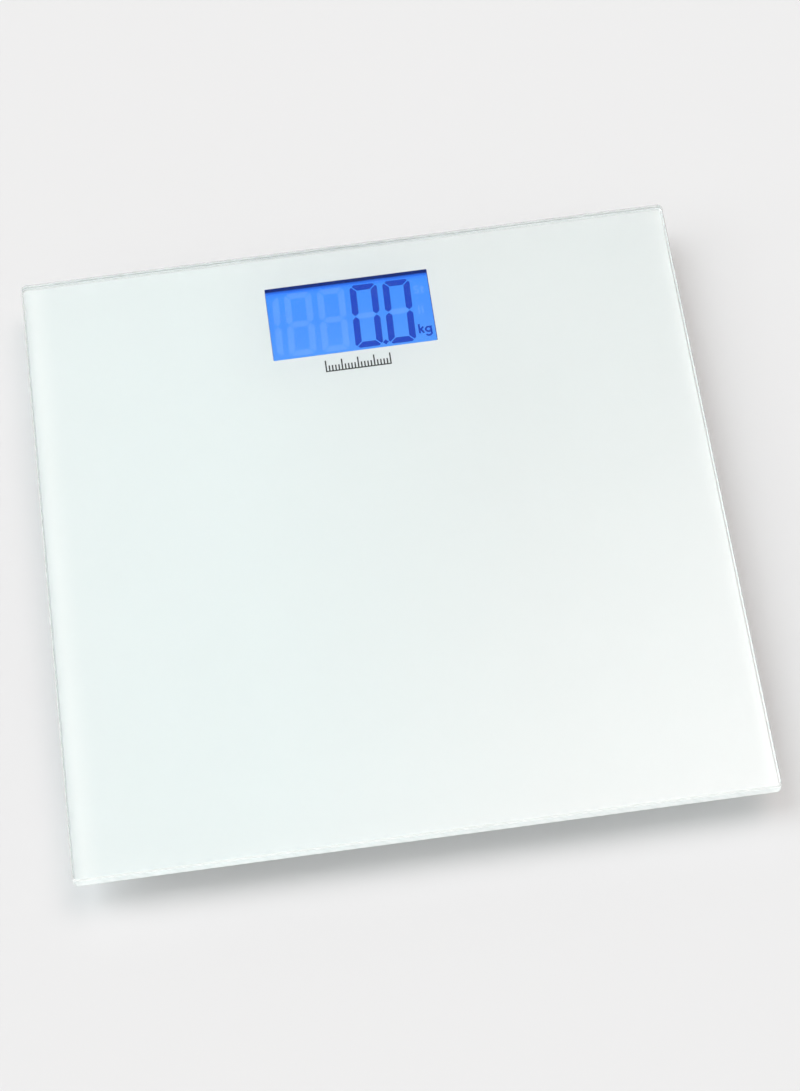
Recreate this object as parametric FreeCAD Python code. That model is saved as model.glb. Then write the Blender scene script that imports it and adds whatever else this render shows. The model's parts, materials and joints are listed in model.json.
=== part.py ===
import FreeCAD, Part
import math
import os

# A digital bathroom scale: a square glass platform, printed white on its underside, on four
# load-cell feet, with a pod under the display window that holds the electronics and two AAA cells.
# Millimetres. The origin is on the floor under the middle of the platform. +X is right, +Y is
# towards the display, -Y is towards the person who stands on it, and +Z is up.

V = FreeCAD.Vector

# ---- driving dimensions ----
PLATFORM = 300.0          # side of the square platform
HEIGHT = 24.0             # floor to the top of the glass
GLASS_T = 6.0
CORNER_R = 2.5            # platform corners, seen from above
ARRIS = 0.6               # ground edge of the glass
PRINT_T = 0.15            # white lacquer on the underside
PRINT_MARGIN = 1.1        # bare glass around the lacquer
PRINT_R = 1.8
TAPE_T = 0.5              # double-sided foam tape
TAPE_INSET = 1.0          # from the edge of the pod or foot that it holds

GLASS_Z = HEIGHT - GLASS_T
PRINT_Z = GLASS_Z - PRINT_T
TAPE_Z = PRINT_Z - TAPE_T

# display window in the lacquer
WINDOW_W = 75.6
WINDOW_D = 39.3
WINDOW_X = -0.7
WINDOW_Y = 113.2
WINDOW_R = 0.5
GASKET_LIP = 0.15         # the gasket shows this far inside the window
GASKET_T = 2.0
GASKET_R = 1.5
GASKET_ROOM = 0.3         # around the gasket in the tape, the pod's roof and the display's holder

# tick mark under the window
MARK_X = -0.4
MARK_Y = 87.1
MARK_W = 30.2
MARK_H = 6.2
MARK_LINE = 0.65
MARK_TICKS = 21
MARK_LONG_EVERY = 5
MARK_SHORT = 0.55         # a short tick's share of the full height

# display stack, from the top
LCD_TOP = PRINT_Z - 2.25
FILM_T = 0.2              # each polariser
CELL_GLASS_T = 0.9
CELL_GAP = 0.1            # liquid crystal between the two glasses
DIFFUSER_T = 0.25
GUIDE_T = 2.5
REFLECTOR_T = 0.25
BOARD_T = 1.2
LCD_HALF_W = 41.0
LCD_FRONT = 91.3
LCD_BACK = 136.0
LEDGE_FRONT = 87.6        # the front glass reaches this far to carry its contacts
FRAME_HALF_W = 43.0
FRAME_FRONT = 85.9
FRAME_BACK = 137.6
FRAME_WALL = 1.5
FRAME_R = 1.5
LAYER_GAP = 0.2           # between the edge of a display layer and the glass's edge
GUIDE_HALF_W = LCD_HALF_W - 1.8
SEAL_W = 1.4
PEG_R = 0.9               # pegs under the display's holder
PEG_CLEAR = 0.05
LED = 1.6                 # depth and half the length of a backlight lamp
LED_H = 1.5
LED_PITCH = 13.8
ZEBRA_HALF_W = 38.0
ZEBRA_Y = (88.3, 90.3)

FRONT_GLASS_Z = LCD_TOP - FILM_T - CELL_GLASS_T
CELL_Z = FRONT_GLASS_Z - CELL_GAP
REAR_GLASS_Z = CELL_Z - CELL_GLASS_T
REAR_FILM_Z = REAR_GLASS_Z - FILM_T
DIFFUSER_Z = REAR_FILM_Z - DIFFUSER_T
GUIDE_Z = DIFFUSER_Z - GUIDE_T
BOARD_TOP = GUIDE_Z - REFLECTOR_T
BOARD_Z = BOARD_TOP - BOARD_T
PEGS = [
    (x, y)
    for x in (-FRAME_HALF_W + 0.95, FRAME_HALF_W - 0.95)
    for y in (FRAME_FRONT + 3.0, FRAME_BACK - 3.0)
]

# seven-segment digits
DIGIT_W = 12.7
DIGIT_H = 34.2
DIGIT_Y = 97.0            # lower edge
DIGIT_X = -0.35           # left edge of the digit before the point
DIGIT_PITCH = 15.3
DIGIT_LEAN = 1.0          # the top stands this far to the right
BAR = 3.0                 # stroke of a segment
BAR_GAP = 0.28            # half the gap between two segments
BAR_CHAMFER = 1.5         # cut at a digit's outer corners
POINT_R = 1.35            # half the width of the decimal point
POINT_GAP = 1.3           # from the digit's foot to the middle of the point
PEN = 0.9                 # stroke of the unit letters
UNIT_X = 29.3             # left edge of the unit letters
KG_Y = 100.6
LB_Y = 111.3
ST_Y = 122.3

# electronics pod under the display
POD_HALF_W = 52.0
POD_FRONT = 50.0
POD_BACK = 142.0
POD_R = 6.0
POD_WALL = 1.8
POD_ROOF = 1.2
POD_Z = 3.0               # underside of the cover
COVER_T = 1.8
COVER_TOP = POD_Z + COVER_T
ROOF_Z = TAPE_Z - POD_ROOF
SCREW_R = 1.0
SCREW_CLEAR = 0.05
SCREW_PASS = 0.2          # clearance where a screw passes through the cover or the board
SCREW_BITE = 6.0          # length of a cover screw in its boss
COUNTERSINK = 1.05
COVER_SCREW_HEAD_R = 2.05
BOARD_SCREW_HEAD_R = 1.9
BOARD_SCREW_HEAD_T = 1.1
BOARD_SCREW_BITE = 3.5
DRIVE_DEPTH = 0.7
DRIVE_HALF = 1.2          # half the length of a cross drive's arm
DRIVE_ARM = 0.28          # half its width
BOSS_R = 2.4
BOARD_BOSS_R = 2.2
LIP_T = 1.2               # locating lips on the cover
LIP_H = 1.4
LIP_GAP = 0.1
SIDE_LIP = (66.0, 96.0)
BACK_LIP_HALF_W = 36.0
FRONT_LIP_HALF_W = 30.0
LABEL_X = (-42.0, -2.0)
LABEL_Y = (98.0, 122.0)
LABEL_T = 0.1
COVER_SCREWS = [(x, y) for x in (-47.5, 47.5) for y in (55.5, 136.5)]
BOARD_SCREWS = [(x, y) for x in (-46.5, 46.5) for y in (103.0, 125.0)]

# circuit board
BOARD_OUTLINE = [((-44.5, 44.5), (85.6, 139.0)), ((-49.0, 49.0), (97.0, 130.0))]
BOARD_R = 1.0
CHIP = (-14.0, 112.0)
CHIP_R = 7.0
CHIP_RISE = 1.6
CHIP_PARTS = 5
CHIP_PARTS_X = 2.0
CHIP_PARTS_PITCH = 4.0

# battery bay
CELL_R = 5.25             # AAA
CELL_LENGTH = 44.5
CELL_AXIS_Z = 10.6
CELL_ROWS = (61.5, 73.0)
BAY_HALF_W = 26.0
BAY_FRONT = 55.6
BAY_BACK = 84.0
BAY_WALL = 1.2
CONTACT_T = 0.4
CONTACT_HALF_W = 4.6
CONTACT_Z = (6.2, 14.8)
TAB_HALF_W = 1.3          # solder tab through the bay's wall
TAB_Z = (13.6, 14.0)
TAB_REACH = 3.2
TAB_CLEAR = 0.2
BUMP = 1.2                # raised middle of a flat contact
BUMP_R = 3.0
BUMP_TIP_R = 1.6
NUB_T = 1.0               # plus pole of a cell
NUB_R = 1.9
CRIMP_R = 3.9
FLAT_END_R = 3.4
SPRING_R = 3.0
SPRING_WIRE_R = 0.35
SPRING_TURNS = 4
SPRING_STEPS = 10         # points in each turn of the coil
DOOR_GAP = 0.35
DOOR_FRONT = 54.8
DOOR_HALF_W = 26.8
HINGE_Y = 82.0
HINGE_Z = 4.6
BARREL_R = HINGE_Z - POD_Z
BARREL_HALF_W = 25.6
PIN_R = 0.8
PIN_CLEAR = 0.05
PIN_HALF_W = BAY_HALF_W + 1.0
TONGUE_HALF_W = 6.0       # spring tongue in the door's front edge
TONGUE_LENGTH = 8.0
SLIT = 0.8
GRIP_RIBS = 4
GRIP_PITCH = 1.6
GRIP_GROOVE = 0.7
GRIP_DEPTH = 0.4
GRIP_HALF_W = 4.5
NAIL_NOTCH_R = 6.0
DIVIDER_HALF_W = 20.0
DIVIDER_HALF_T = 0.6
DIVIDER_H = 2.2

# unit button
BUTTON_X = 34.0
BUTTON_Y = 112.0
BUTTON_R = 3.6
BUTTON_GAP = 0.3
BUTTON_INSET = 0.3
FLANGE_R = 5.0
FLANGE_TOP = COVER_TOP + 0.8
SWITCH_HALF = 3.0
SWITCH_T = 2.6
SWITCH_WELL = 1.9
SWITCH_WELL_R = 2.0
PLUNGER_R = 1.65
PLUNGER_TOP = BOARD_Z - 1.5

# feet
FOOT = 112.0              # from the middle of the platform, along X and along Y
HOUSING_R = 27.0
HOUSING_WALL = 2.0
HOUSING_ROOF = 1.5
HOUSING_Z = 4.0
FOOT_TAPE_HOLE_R = 6.0
HOOK_TOP = 5.2            # the cap's flange drops onto the hooks
HOOK_R = 23.4
CAP_R = 23.1
CAP_Z = 1.2
CAP_TOP = 7.2
CAP_FLANGE_R = 24.6
CAP_DROP = 0.8            # free play of the cap
PAD_R = 20.0
PAD_T = 2.0
LOAD_CELL = 34.0          # side of the square load cell
LOAD_CELL_T = 2.5
LOAD_CELL_Z = 10.8
LOAD_CELL_R = 4.0
TONGUE_SLOT = (5.7, 8.7)  # the slots beside the load cell's tongue
TONGUE_TIP_Y = -11.0
TONGUE_TIP_SLOT = 3.0
TONGUE_ROOT_Y = 9.0
CELL_HOLE = (13.5, 12.5)
CELL_HOLE_R = 1.5
GAUGE_T = 0.8
GAUGE_HALF_W = 4.2
GAUGE_Y = (8.0, 14.5)
SEAT_X = (12.5, 16.0)     # pads in the housing's roof that the load cell bears against
SEAT_HALF = 13.0
CLIP_GAP = 0.2            # around the load cell, inside its claws and stops
CLIP_T = 1.5
CLAW_HALF = 3.0
CLAW_DROP = 0.8
CLAW_HOLD = 0.6
STOP_X = (8.0, 11.0)
HOOK_GAP = (15.0, 30.0)
HOOK_GAP_HALF = 12.0
CAP_FLOOR = 2.4
CAP_WALL = 1.8
CAP_BOSS_R = 5.0
CAP_RIBS = 3
CAP_RIB_HALF = 0.75
TREADS = (5.0, 9.5, 14.0) # radii of the grooves in a pad
TREAD_HALF = 0.9
TREAD_DEPTH = 0.6

# wires
WIRE_R = 0.5
WIRE_PITCH = 1.3
GLASS_WIRE_Z = PRINT_Z - 0.65      # axis of a wire that lies along the lacquer
FOOT_WIRE_Z = LOAD_CELL_Z + LOAD_CELL_T + GAUGE_T + WIRE_R
UNDER_BOARD_WIRE_Z = BOARD_Z - WIRE_R - 0.1
FRONT_ENTRY_X = 38.0
FRONT_ENTRY_Z = 12.9
SIDE_ENTRY_Z = 13.6
ENTRY_HALF = 2.6          # half the width of a lead's opening in a wall
ENTRY_RISE = 1.1
SADDLE_HALF_W = 4.0
SADDLE_HALF_L = 3.0
SADDLE_T = 2.0
TUNNEL_HALF_W = 2.1
TUNNEL_T = 1.25
SOLDER_R = 0.6
SOLDER_TIP_R = 0.25
SOLDER_T = 0.9
BEND_SHARE = 0.45         # share of the shorter run that a bend takes up

# side along X, side along Y, and how far the foot is turned about its own axis
CORNERS = {
    "front_left": (-1, -1, 0),
    "front_right": (1, -1, 0),
    "back_left": (-1, 1, -90),
    "back_right": (1, 1, 90),
}


# ---- shapes used throughout ----
def box(x, y, z):
    """A box from three (low, high) pairs."""
    return Part.makeBox(x[1] - x[0], y[1] - y[0], z[1] - z[0], V(x[0], y[0], z[0]))


def cylinder(x, y, z, radius):
    """An upright cylinder over the (low, high) pair z."""
    return Part.makeCylinder(radius, z[1] - z[0], V(x, y, z[0]))


def ring(x, y, z, outer, inner):
    return cylinder(x, y, z, outer).cut(cylinder(x, y, z, inner))


def slab(x, y, z, radius):
    """A box whose four upright edges are rounded."""
    solid = box(x, y, z)
    upright = [e for e in solid.Edges if abs(e.tangentAt(e.FirstParameter).z) > 0.99]
    return solid.makeFillet(radius, upright)


def frame(x, y, z, radius, wall):
    """A rounded rectangular ring: its outside and the thickness of its wall."""
    hole = slab(
        (x[0] + wall, x[1] - wall), (y[0] + wall, y[1] - wall), z, max(radius - wall, 0.3)
    )
    return slab(x, y, z, radius).cut(hole)


def prism(points, z):
    """An upright prism on a closed outline of (x, y) points."""
    corners = [V(x, y, z[0]) for x, y in points]
    outline = Part.makePolygon(corners + corners[:1])
    return Part.Face(outline).extrude(V(0, 0, z[1] - z[0]))


def edges_at(solid, height):
    """The edges of a solid that lie level at a height."""
    return [
        e
        for e in solid.Edges
        if abs(e.BoundBox.ZMin - height) < 1e-6 and abs(e.BoundBox.ZMax - height) < 1e-6
    ]


def joined(shapes):
    """One solid from shapes that overlap or share faces."""
    first, *rest = shapes
    return first.multiFuse(rest).removeSplitter() if rest else first


def group(shapes):
    """Separate solids kept in one node."""
    return Part.makeCompound(shapes)


def mirrored(shape):
    """The same shape on the other side of the platform's middle line."""
    return shape.mirror(V(0, 0, 0), V(1, 0, 0))


# ---- platform ----
def glass_platform():
    half = PLATFORM / 2
    glass = slab((-half, half), (-half, half), (GLASS_Z, HEIGHT), CORNER_R)
    return glass.makeChamfer(ARRIS, edges_at(glass, HEIGHT) + edges_at(glass, GLASS_Z))


def window(z, grow=0.0, radius=WINDOW_R):
    """The display window, grown on all sides, as a solid over the pair z."""
    half_w = WINDOW_W / 2 + grow
    half_d = WINDOW_D / 2 + grow
    x = (WINDOW_X - half_w, WINDOW_X + half_w)
    return slab(x, (WINDOW_Y - half_d, WINDOW_Y + half_d), z, radius)


def gasket_hole(z):
    """The room that the tape, the pod's roof and the holder leave for the gasket."""
    return window(z, GASKET_T - GASKET_LIP + GASKET_ROOM, GASKET_R)


def tick_mark_print():
    """A comb of short and long ticks on a base line."""
    z = (PRINT_Z, GLASS_Z)
    low = MARK_Y - MARK_H / 2
    left = MARK_X - MARK_W / 2
    comb = [box((left, left + MARK_W), (low, low + MARK_LINE), z)]
    step = (MARK_W - MARK_LINE) / (MARK_TICKS - 1)
    for k in range(MARK_TICKS):
        x = left + k * step
        height = MARK_H * (1 if k % MARK_LONG_EVERY == 0 else MARK_SHORT)
        comb.append(box((x, x + MARK_LINE), (low, low + height), z))
    return joined(comb)


def white_back_print():
    half = PLATFORM / 2 - PRINT_MARGIN
    z = (PRINT_Z, GLASS_Z)
    lacquer = slab((-half, half), (-half, half), z, PRINT_R)
    return lacquer.cut(window(z)).cut(tick_mark_print())


# ---- display ----
def display_gasket():
    z = (LCD_TOP, PRINT_Z)
    return window(z, GASKET_T - GASKET_LIP, GASKET_R).cut(window(z, -GASKET_LIP))


def lcd_layer(z, half_w=LCD_HALF_W, front=LCD_FRONT, back=LCD_BACK):
    return box((-half_w, half_w), (front, back), z)


def lcd_film(z, half_w=LCD_HALF_W - 3 * LAYER_GAP):
    """A layer that stops short of the glass's edges."""
    return lcd_layer(z, half_w, LCD_FRONT + LAYER_GAP, LCD_BACK - LAYER_GAP)


def lcd_front_polariser():
    return lcd_film((LCD_TOP - FILM_T, LCD_TOP))


def lcd_front_glass():
    return lcd_layer((FRONT_GLASS_Z, LCD_TOP - FILM_T), front=LEDGE_FRONT)


def lcd_seal():
    x = (-LCD_HALF_W, LCD_HALF_W)
    return frame(x, (LCD_FRONT, LCD_BACK), (CELL_Z, FRONT_GLASS_Z), SEAL_W / 2, SEAL_W)


def lcd_rear_glass():
    return lcd_layer((REAR_GLASS_Z, CELL_Z))


def lcd_rear_polariser():
    return lcd_film((REAR_FILM_Z, REAR_GLASS_Z))


def lean(x, y):
    """A point of an upright digit, moved to where the digit leans."""
    return (x + DIGIT_LEAN * (y - DIGIT_Y) / DIGIT_H, y)


def segment(points, left):
    """One segment from points measured from a digit's lower left corner."""
    moved = [lean(left + x, DIGIT_Y + y) for x, y in points]
    return prism(moved, (CELL_Z, FRONT_GLASS_Z))


def end_bar():
    """The lowest bar: widest at the digit's edge, with the outer corners cut."""
    g = BAR_GAP * math.sqrt(2)
    w = DIGIT_W
    c = BAR_CHAMFER
    half_c = c / 2
    return [
        (half_c + g, half_c),
        (c + g, 0),
        (w - c - g, 0),
        (w - half_c - g, half_c),
        (w - BAR - g, BAR),
        (BAR + g, BAR),
    ]


def side_bar():
    """The lower left bar: square to the outside, pointed at the digit's middle."""
    g = BAR_GAP * math.sqrt(2)
    middle = DIGIT_H / 2 - BAR_GAP
    c = BAR_CHAMFER
    half_c = c / 2
    return [
        (0, c + g),
        (half_c, half_c + g),
        (BAR, BAR + g),
        (BAR, middle - BAR / 2),
        (BAR / 2, middle),
        (0, middle - BAR / 2),
    ]


def middle_bar():
    reach = BAR / 2 + 1.4 * BAR_GAP
    mid = DIGIT_H / 2
    w = DIGIT_W
    half = BAR / 2
    return [
        (reach, mid),
        (reach + half, mid - half),
        (w - reach - half, mid - half),
        (w - reach, mid),
        (w - reach - half, mid + half),
        (reach + half, mid + half),
    ]


def flipped(points, across=False, over=False):
    """A segment's outline mirrored left to right or bottom to top within its digit."""
    return [
        (DIGIT_W - x if across else x, DIGIT_H - y if over else y) for x, y in points
    ]


def digit(place, bars):
    """The bars of the digit at a place, counted from the one before the point."""
    left = DIGIT_X + place * DIGIT_PITCH
    outlines = {
        "top": flipped(end_bar(), over=True),
        "upper_left": flipped(side_bar(), over=True),
        "upper_right": flipped(side_bar(), across=True, over=True),
        "middle": middle_bar(),
        "lower_left": side_bar(),
        "lower_right": flipped(side_bar(), across=True),
        "bottom": end_bar(),
    }
    return [segment(outlines[bar], left) for bar in bars]


RIGHT_BARS = ("upper_right", "lower_right")
RING_BARS = RIGHT_BARS + ("top", "upper_left", "lower_left", "bottom")


def stroke(start, end):
    """A straight pen stroke between two (x, y) points, square at its ends."""
    a = V(start[0], start[1], 0)
    b = V(end[0], end[1], 0)
    along = (b - a).normalize()
    side = V(-along.y, along.x, 0) * (PEN / 2)
    outline = [a + side, a - side, b - side, b + side]
    return prism([(p.x, p.y) for p in outline], (CELL_Z, FRONT_GLASS_Z))


def bow(centre, radius, start, end):
    """A curved pen stroke about a centre, from one angle to another in degrees."""
    def rim(r):
        return Part.makeCircle(r, V(centre[0], centre[1], CELL_Z), V(0, 0, 1), start, end)

    if end - start >= 360:
        outer = Part.Wire([rim(radius + PEN / 2)])
        inner = Part.Wire([rim(radius - PEN / 2)])
        face = Part.Face([outer, inner])
    else:
        outer = rim(radius + PEN / 2)
        inner = rim(radius - PEN / 2)
        ends = [
            Part.makeLine(outer.valueAt(p), inner.valueAt(q))
            for p, q in (
                (outer.FirstParameter, inner.FirstParameter),
                (outer.LastParameter, inner.LastParameter),
            )
        ]
        face = Part.Face(Part.Wire(Part.__sortEdges__([outer, inner] + ends)))
    return face.extrude(V(0, 0, CELL_GAP))


# Letters: x and y are the lower left corner and h is the height of a tall letter.
def letter_k(x, y, h):
    stem = x + PEN / 2
    return joined([
        stroke((stem, y), (stem, y + h)),
        stroke((stem, y + 0.28 * h), (x + 0.46 * h, y + 0.68 * h)),
        stroke((x + 0.22 * h, y + 0.42 * h), (x + 0.48 * h, y)),
    ])


def letter_g(x, y, h):
    r = 0.25 * h
    cx = x + r + PEN / 2
    cy = y + r + PEN / 2
    hook = cy - r - PEN
    return joined([
        bow((cx, cy), r, 0, 360),
        stroke((cx + r, cy + r + PEN / 2), (cx + r, hook)),
        bow((cx, hook), r, 205, 360),
    ])


def letter_s(x, y, h):
    r = 0.17 * h
    cx = x + r + PEN / 2
    low = y + r + PEN / 2
    return joined([
        bow((cx, low), r, 200, 450),
        bow((cx, low + 2 * r), r, 20, 270),
    ])


def letter_t(x, y, h):
    stem = x + 0.21 * h
    bar = y + 0.66 * h
    return joined([
        stroke((stem, y), (stem, y + 0.95 * h)),
        stroke((x, bar), (x + 0.47 * h, bar)),
    ])


def letter_l(x, y, h):
    return stroke((x + PEN / 2, y), (x + PEN / 2, y + h))


def letter_b(x, y, h):
    r = 0.25 * h
    return joined([
        letter_l(x, y, h),
        bow((x + r + PEN / 2, y + r + PEN / 2), r, 0, 360),
    ])


def lcd_lit_segments():
    """Zero, point, zero and the unit."""
    shapes = digit(0, RING_BARS) + digit(1, RING_BARS)
    x = DIGIT_X + DIGIT_W + POINT_GAP
    y = DIGIT_Y + POINT_R
    diamond = [(x - POINT_R, y), (x, y - POINT_R), (x + POINT_R, y), (x, y + POINT_R)]
    shapes.append(prism(diamond, (CELL_Z, FRONT_GLASS_Z)))
    shapes += [letter_k(UNIT_X, KG_Y, 5.0), letter_g(UNIT_X + 2.9, KG_Y + 0.1, 4.9)]
    return group(shapes)


def lcd_unlit_segments():
    """The bars that are off: the two higher digits, the leading one and the other two units."""
    shapes = digit(-3, RIGHT_BARS)
    for place in (-2, -1):
        shapes += digit(place, RING_BARS + ("middle",))
    for place in (0, 1):
        shapes += digit(place, ("middle",))
    shapes += [letter_s(UNIT_X + 0.5, ST_Y, 5.4), letter_t(UNIT_X + 3.5, ST_Y, 4.3)]
    shapes += [letter_l(UNIT_X + 1.2, LB_Y, 4.2), letter_b(UNIT_X + 2.9, LB_Y, 4.2)]
    return group(shapes)


def backlight_diffuser():
    return lcd_film((DIFFUSER_Z, REAR_FILM_Z))


def backlight_light_guide():
    """A clear plate with a shallow step at its lit edge."""
    plate = lcd_film((GUIDE_Z, DIFFUSER_Z), GUIDE_HALF_W)
    step = box((GUIDE_HALF_W - 1.0, GUIDE_HALF_W), (LCD_FRONT, LCD_BACK), (DIFFUSER_Z - 0.4, DIFFUSER_Z))
    return plate.cut(step)


def backlight_reflector():
    return lcd_film((BOARD_TOP, GUIDE_Z), GUIDE_HALF_W)


def backlight_leds():
    """Three side-firing lamps at the right edge of the light guide, each with a shallow window."""
    face = GUIDE_HALF_W + 0.1
    rim = 0.4
    lamps = []
    for y in (WINDOW_Y - LED_PITCH, WINDOW_Y, WINDOW_Y + LED_PITCH):
        body = box((face, face + LED), (y - LED, y + LED), (BOARD_TOP, BOARD_TOP + LED_H))
        z = (BOARD_TOP + rim, BOARD_TOP + LED_H - rim)
        lamps.append(body.cut(box((face, face + rim), (y - LED + rim, y + LED - rim), z)))
    return group(lamps)


def lcd_frame():
    """The white holder that keeps the display and its light guide on the board."""
    x = (-FRAME_HALF_W, FRAME_HALF_W)
    y = (FRAME_FRONT, FRAME_BACK)
    walls = frame(x, y, (BOARD_TOP, ROOF_Z), FRAME_R, FRAME_WALL)
    lip = slab(x, y, (LCD_TOP, ROOF_Z), FRAME_R).cut(gasket_hole((LCD_TOP, ROOF_Z)))
    pegs = [cylinder(px, py, (BOARD_Z, BOARD_TOP), PEG_R) for px, py in PEGS]
    return joined([walls, lip] + pegs)


def zebra_connector():
    """The striped rubber strip from the board up to the front glass's ledge."""
    return box((-ZEBRA_HALF_W, ZEBRA_HALF_W), ZEBRA_Y, (BOARD_TOP, FRONT_GLASS_Z))


# ---- circuit board ----
def circuit_board():
    """A board with two ears for its screws, and holes for the holder's pegs."""
    z = (BOARD_Z, BOARD_TOP)
    board = joined([slab(x, y, z, BOARD_R) for x, y in BOARD_OUTLINE])
    for x, y in BOARD_SCREWS:
        board = board.cut(cylinder(x, y, z, SCREW_R + SCREW_PASS))
    for x, y in PEGS:
        board = board.cut(cylinder(x, y, z, PEG_R + PEG_CLEAR))
    return board


def controller_chip():
    """The black resin drop over the bare chip: a shallow cap of a ball."""
    radius = (CHIP_R**2 + CHIP_RISE**2) / (2 * CHIP_RISE)
    x, y = CHIP
    low = BOARD_Z - CHIP_RISE
    ball = Part.makeSphere(radius, V(x, y, low + radius))
    return ball.common(box((x - radius, x + radius), (y - radius, y + radius), (low, BOARD_Z)))


def board_components():
    """Small parts on the underside of the board: two rows of chips, a crystal, a coil and a fuse."""
    shapes = []
    for k in range(CHIP_PARTS):
        x = CHIP_PARTS_X + CHIP_PARTS_PITCH * k
        shapes.append(box((x, x + 2.0), (101.0, 102.25), (BOARD_Z - 0.6, BOARD_Z)))
        shapes.append(box((x, x + 1.6), (122.0, 122.8), (BOARD_Z - 0.8, BOARD_Z)))
    crystal = slab((6.0, 17.0), (109.5, 114.0), (BOARD_Z - 3.4, BOARD_Z), 2.0)
    coil = cylinder(-30.0, 126.0, (BOARD_Z - 3.8, BOARD_Z), 2.5)
    fuse = box((-31.5, -28.6), (104.0, 105.3), (BOARD_Z - 1.1, BOARD_Z))
    return group(shapes + [crystal, coil, fuse])


def cross_recess(x, y, low):
    """The cutter for a cross-head drive, entered from below."""
    z = (low, low + DRIVE_DEPTH)
    along = box((x - DRIVE_HALF, x + DRIVE_HALF), (y - DRIVE_ARM, y + DRIVE_ARM), z)
    return along.fuse(box((x - DRIVE_ARM, x + DRIVE_ARM), (y - DRIVE_HALF, y + DRIVE_HALF), z))


def board_screws():
    screws = []
    low = BOARD_Z - BOARD_SCREW_HEAD_T
    for x, y in BOARD_SCREWS:
        head = cylinder(x, y, (low, BOARD_Z), BOARD_SCREW_HEAD_R)
        head = head.makeFillet(0.5, edges_at(head, low))
        shank = cylinder(x, y, (BOARD_Z, BOARD_TOP + BOARD_SCREW_BITE), SCREW_R)
        screws.append(joined([head, shank]).cut(cross_recess(x, y, low)))
    return group(screws)


def unit_switch():
    """A tactile switch under the board, open below for its plunger."""
    x = (BUTTON_X - SWITCH_HALF, BUTTON_X + SWITCH_HALF)
    y = (BUTTON_Y - SWITCH_HALF, BUTTON_Y + SWITCH_HALF)
    low = BOARD_Z - SWITCH_T
    body = slab(x, y, (low, BOARD_Z), 0.5)
    return body.cut(cylinder(BUTTON_X, BUTTON_Y, (low, low + SWITCH_WELL), SWITCH_WELL_R))


def unit_switch_plunger():
    return cylinder(BUTTON_X, BUTTON_Y, (FLANGE_TOP, PLUNGER_TOP), PLUNGER_R)


def unit_button():
    """A round cap that stands just inside the cover, held in by its flange."""
    low = POD_Z + BUTTON_INSET
    cap = cylinder(BUTTON_X, BUTTON_Y, (low, COVER_TOP), BUTTON_R)
    cap = cap.makeFillet(0.5, edges_at(cap, low))
    flange = cylinder(BUTTON_X, BUTTON_Y, (COVER_TOP, FLANGE_TOP), FLANGE_R)
    return joined([cap, flange])


# ---- pod ----
def pod_outline(z, shrink=0.0):
    return slab(
        (-POD_HALF_W + shrink, POD_HALF_W - shrink),
        (POD_FRONT + shrink, POD_BACK - shrink),
        z,
        POD_R - shrink,
    )


def pod_tape():
    z = (TAPE_Z, PRINT_Z)
    return pod_outline(z, TAPE_INSET).cut(gasket_hole(z))


def bay_walls():
    """The four walls around the cells, with bores for the door's pins and slots for the tabs."""
    x = (-BAY_HALF_W - BAY_WALL, BAY_HALF_W + BAY_WALL)
    y = (BAY_FRONT - BAY_WALL, BAY_BACK + BAY_WALL)
    z = (COVER_TOP, ROOF_Z)
    inside = box((-BAY_HALF_W, BAY_HALF_W), (BAY_FRONT, BAY_BACK), z)
    walls = box(x, y, z).cut(inside)
    bore = Part.makeCylinder(PIN_R + PIN_CLEAR, x[1] - x[0], V(x[0], HINGE_Y, HINGE_Z), V(1, 0, 0))
    walls = walls.cut(bore)
    for row in CELL_ROWS:
        y = (row - TAB_HALF_W - TAB_CLEAR, row + TAB_HALF_W + TAB_CLEAR)
        walls = walls.cut(box((x[0], -BAY_HALF_W), y, (TAB_Z[0] - TAB_CLEAR, TAB_Z[1] + TAB_CLEAR)))
    return walls


def pod_shell():
    """The upper moulding: walls, roof with the display opening, bay walls and screw bosses."""
    outside = pod_outline((COVER_TOP, TAPE_Z))
    inside = pod_outline((COVER_TOP, ROOF_Z), POD_WALL)
    shell = outside.cut(inside).cut(gasket_hole((ROOF_Z, TAPE_Z)))
    bosses = [cylinder(x, y, (COVER_TOP, ROOF_Z), BOSS_R) for x, y in COVER_SCREWS]
    bosses += [cylinder(x, y, (BOARD_TOP, ROOF_Z), BOARD_BOSS_R) for x, y in BOARD_SCREWS]
    shell = joined([shell, bay_walls()] + bosses)
    hole = SCREW_R + SCREW_CLEAR
    for x, y in COVER_SCREWS:
        shell = shell.cut(cylinder(x, y, (COVER_TOP, COVER_TOP + SCREW_BITE + 1.0), hole))
    for x, y in BOARD_SCREWS:
        shell = shell.cut(cylinder(x, y, (BOARD_TOP, BOARD_TOP + BOARD_SCREW_BITE + 0.7), hole))
    front_z = (FRONT_ENTRY_Z - ENTRY_RISE, FRONT_ENTRY_Z + ENTRY_RISE)
    side_z = (SIDE_ENTRY_Z - ENTRY_RISE, SIDE_ENTRY_Z + ENTRY_RISE)
    for side in (-1, 1):
        middle = side * FRONT_ENTRY_X
        x = (middle - ENTRY_HALF, middle + ENTRY_HALF)
        shell = shell.cut(box(x, (POD_FRONT, POD_FRONT + POD_WALL), front_z))
        wall = sorted((side * POD_HALF_W, side * (POD_HALF_W - POD_WALL)))
        shell = shell.cut(box(wall, (FOOT - ENTRY_HALF, FOOT + ENTRY_HALF), side_z))
    return shell


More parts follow.
